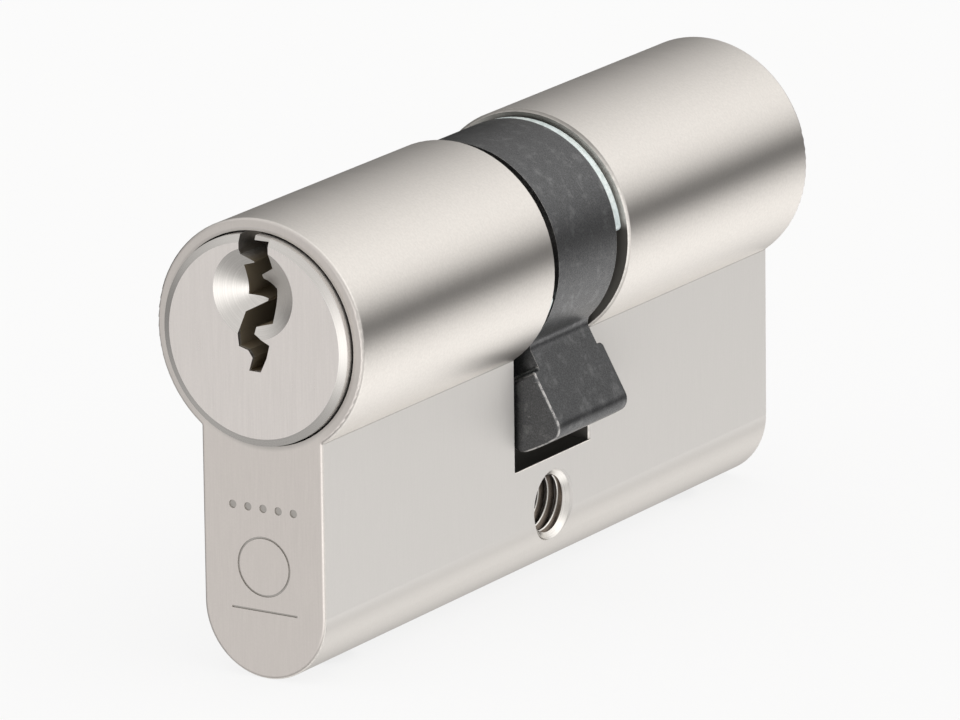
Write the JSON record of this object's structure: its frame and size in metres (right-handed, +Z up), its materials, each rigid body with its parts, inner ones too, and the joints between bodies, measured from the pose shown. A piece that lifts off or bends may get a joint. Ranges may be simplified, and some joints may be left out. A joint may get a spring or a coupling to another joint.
{
  "type": "euro profile cylinder",
  "caption": "Double euro-profile lock cylinder: keyed plugs at both ends, pin stacks in the web, a rotating cam lug between them and a threaded hole for the fixing screw.",
  "frame": {"origin": "centre of the fixing-screw hole through the web", "axes": "+Y along the plugs towards the rear end, +Z up through the head, +X along the fixing-screw hole"},
  "size_m": [0.017, 0.0616, 0.033],
  "materials": {
    "housing_nickel": "satin nickel plate, brushed end faces",
    "plug_nickel": "satin nickel plate, turned",
    "zinc_clip": "blue-passivated zinc plate",
    "sintered_cam": "sintered steel, dark oiled, worn edges",
    "coupler_steel": "hardened, satin",
    "pin_brass": "turned",
    "driver_steel": "turned, hardened",
    "spring_steel": "drawn wire",
    "closer_steel": "hardened, ground",
    "closer_brass": "nickel-plated, ground flush"
  },
  "bodies": {
    "housing": {"housing": "housing_nickel", "front_closer_1": "closer_steel", "front_closer_2": "closer_brass", "front_closer_3": "closer_brass", "front_closer_4": "closer_brass", "front_closer_5": "closer_brass", "rear_closer_1": "closer_steel", "rear_closer_2": "closer_brass", "rear_closer_3": "closer_brass", "rear_closer_4": "closer_brass", "rear_closer_5": "closer_brass", "front_spring_1": "spring_steel", "front_spring_2": "spring_steel", "front_spring_3": "spring_steel", "front_spring_4": "spring_steel", "front_spring_5": "spring_steel", "rear_spring_1": "spring_steel", "rear_spring_2": "spring_steel", "rear_spring_3": "spring_steel", "rear_spring_4": "spring_steel", "rear_spring_5": "spring_steel"},
    "front_plug": {"front_plug": "plug_nickel", "front_clip": "zinc_clip"},
    "rear_plug": {"rear_plug": "plug_nickel", "rear_clip": "zinc_clip"},
    "cam": {"cam": "sintered_cam"},
    "front_coupler": {"front_coupler": "coupler_steel"},
    "rear_coupler": {"rear_coupler": "coupler_steel"},
    "front_key_pin_1": {"front_key_pin_1": "pin_brass"},
    "front_driver_pin_1": {"front_driver_pin_1": "driver_steel"},
    "front_key_pin_2": {"front_key_pin_2": "pin_brass"},
    "front_driver_pin_2": {"front_driver_pin_2": "driver_steel"},
    "front_key_pin_3": {"front_key_pin_3": "pin_brass"},
    "front_driver_pin_3": {"front_driver_pin_3": "driver_steel"},
    "front_key_pin_4": {"front_key_pin_4": "pin_brass"},
    "front_driver_pin_4": {"front_driver_pin_4": "driver_steel"},
    "front_key_pin_5": {"front_key_pin_5": "pin_brass"},
    "front_driver_pin_5": {"front_driver_pin_5": "driver_steel"},
    "rear_key_pin_1": {"rear_key_pin_1": "pin_brass"},
    "rear_driver_pin_1": {"rear_driver_pin_1": "driver_steel"},
    "rear_key_pin_2": {"rear_key_pin_2": "pin_brass"},
    "rear_driver_pin_2": {"rear_driver_pin_2": "driver_steel"},
    "rear_key_pin_3": {"rear_key_pin_3": "pin_brass"},
    "rear_driver_pin_3": {"rear_driver_pin_3": "driver_steel"},
    "rear_key_pin_4": {"rear_key_pin_4": "pin_brass"},
    "rear_driver_pin_4": {"rear_driver_pin_4": "driver_steel"},
    "rear_key_pin_5": {"rear_key_pin_5": "pin_brass"},
    "rear_driver_pin_5": {"rear_driver_pin_5": "driver_steel"}
  },
  "joints": [
    {"name": "clutch_shift", "type": "slide", "parent": "front_plug", "child": "front_coupler", "axis": [0, 1, 0], "range_m": [-0.0021, 0]},
    {"name": "clutch_shift_rear", "type": "slide", "parent": "rear_plug", "child": "rear_coupler", "axis": [0, 1, 0], "range_m": [-0.0021, 0]},
    {"name": "plug_turn_front", "type": "hinge", "parent": "housing", "child": "front_plug", "pos_m": [0, 0, 0.0188], "axis": [0, 1, 0], "continuous": true},
    {"name": "plug_turn_rear", "type": "hinge", "parent": "housing", "child": "rear_plug", "pos_m": [0, 0, 0.0188], "axis": [0, 1, 0], "continuous": true},
    {"name": "cam_turn", "type": "hinge", "parent": "housing", "child": "cam", "pos_m": [0, 0, 0.0188], "axis": [0, 1, 0], "continuous": true},
    {"name": "slide_key_pin_front_1", "type": "slide", "parent": "front_plug", "child": "front_key_pin_1", "axis": [0, 0, 1], "range_m": [0, 0.0024]},
    {"name": "slide_driver_pin_front_1", "type": "slide", "parent": "housing", "child": "front_driver_pin_1", "axis": [0, 0, 1], "range_m": [-0.002, 0], "stiffness_N_per_m": 200, "deforming": ["front_spring_1"]},
    {"name": "slide_key_pin_front_2", "type": "slide", "parent": "front_plug", "child": "front_key_pin_2", "axis": [0, 0, 1], "range_m": [0, 0.0024]},
    {"name": "slide_driver_pin_front_2", "type": "slide", "parent": "housing", "child": "front_driver_pin_2", "axis": [0, 0, 1], "range_m": [-0.002, 0], "stiffness_N_per_m": 200, "deforming": ["front_spring_2"]},
    {"name": "slide_key_pin_front_3", "type": "slide", "parent": "front_plug", "child": "front_key_pin_3", "axis": [0, 0, 1], "range_m": [0, 0.0024]},
    {"name": "slide_driver_pin_front_3", "type": "slide", "parent": "housing", "child": "front_driver_pin_3", "axis": [0, 0, 1], "range_m": [-0.002, 0], "stiffness_N_per_m": 200, "deforming": ["front_spring_3"]},
    {"name": "slide_key_pin_front_4", "type": "slide", "parent": "front_plug", "child": "front_key_pin_4", "axis": [0, 0, 1], "range_m": [0, 0.0024]},
    {"name": "slide_driver_pin_front_4", "type": "slide", "parent": "housing", "child": "front_driver_pin_4", "axis": [0, 0, 1], "range_m": [-0.002, 0], "stiffness_N_per_m": 200, "deforming": ["front_spring_4"]},
    {"name": "slide_key_pin_front_5", "type": "slide", "parent": "front_plug", "child": "front_key_pin_5", "axis": [0, 0, 1], "range_m": [0, 0.0024]},
    {"name": "slide_driver_pin_front_5", "type": "slide", "parent": "housing", "child": "front_driver_pin_5", "axis": [0, 0, 1], "range_m": [-0.002, 0], "stiffness_N_per_m": 200, "deforming": ["front_spring_5"]},
    {"name": "slide_key_pin_rear_1", "type": "slide", "parent": "rear_plug", "child": "rear_key_pin_1", "axis": [0, 0, 1], "range_m": [0, 0.0024]},
    {"name": "slide_driver_pin_rear_1", "type": "slide", "parent": "housing", "child": "rear_driver_pin_1", "axis": [0, 0, 1], "range_m": [-0.002, 0], "stiffness_N_per_m": 200, "deforming": ["rear_spring_1"]},
    {"name": "slide_key_pin_rear_2", "type": "slide", "parent": "rear_plug", "child": "rear_key_pin_2", "axis": [0, 0, 1], "range_m": [0, 0.0024]},
    {"name": "slide_driver_pin_rear_2", "type": "slide", "parent": "housing", "child": "rear_driver_pin_2", "axis": [0, 0, 1], "range_m": [-0.002, 0], "stiffness_N_per_m": 200, "deforming": ["rear_spring_2"]},
    {"name": "slide_key_pin_rear_3", "type": "slide", "parent": "rear_plug", "child": "rear_key_pin_3", "axis": [0, 0, 1], "range_m": [0, 0.0024]},
    {"name": "slide_driver_pin_rear_3", "type": "slide", "parent": "housing", "child": "rear_driver_pin_3", "axis": [0, 0, 1], "range_m": [-0.002, 0], "stiffness_N_per_m": 200, "deforming": ["rear_spring_3"]},
    {"name": "slide_key_pin_rear_4", "type": "slide", "parent": "rear_plug", "child": "rear_key_pin_4", "axis": [0, 0, 1], "range_m": [0, 0.0024]},
    {"name": "slide_driver_pin_rear_4", "type": "slide", "parent": "housing", "child": "rear_driver_pin_4", "axis": [0, 0, 1], "range_m": [-0.002, 0], "stiffness_N_per_m": 200, "deforming": ["rear_spring_4"]},
    {"name": "slide_key_pin_rear_5", "type": "slide", "parent": "rear_plug", "child": "rear_key_pin_5", "axis": [0, 0, 1], "range_m": [0, 0.0024]},
    {"name": "slide_driver_pin_rear_5", "type": "slide", "parent": "housing", "child": "rear_driver_pin_5", "axis": [0, 0, 1], "range_m": [-0.002, 0], "stiffness_N_per_m": 200, "deforming": ["rear_spring_5"]}
  ],
  "couplings": [
    {"joint": "cam_turn", "follows": "plug_turn_front", "ratio": 1},
    {"joint": "clutch_shift_rear", "follows": "clutch_shift", "ratio": 1}
  ]
}
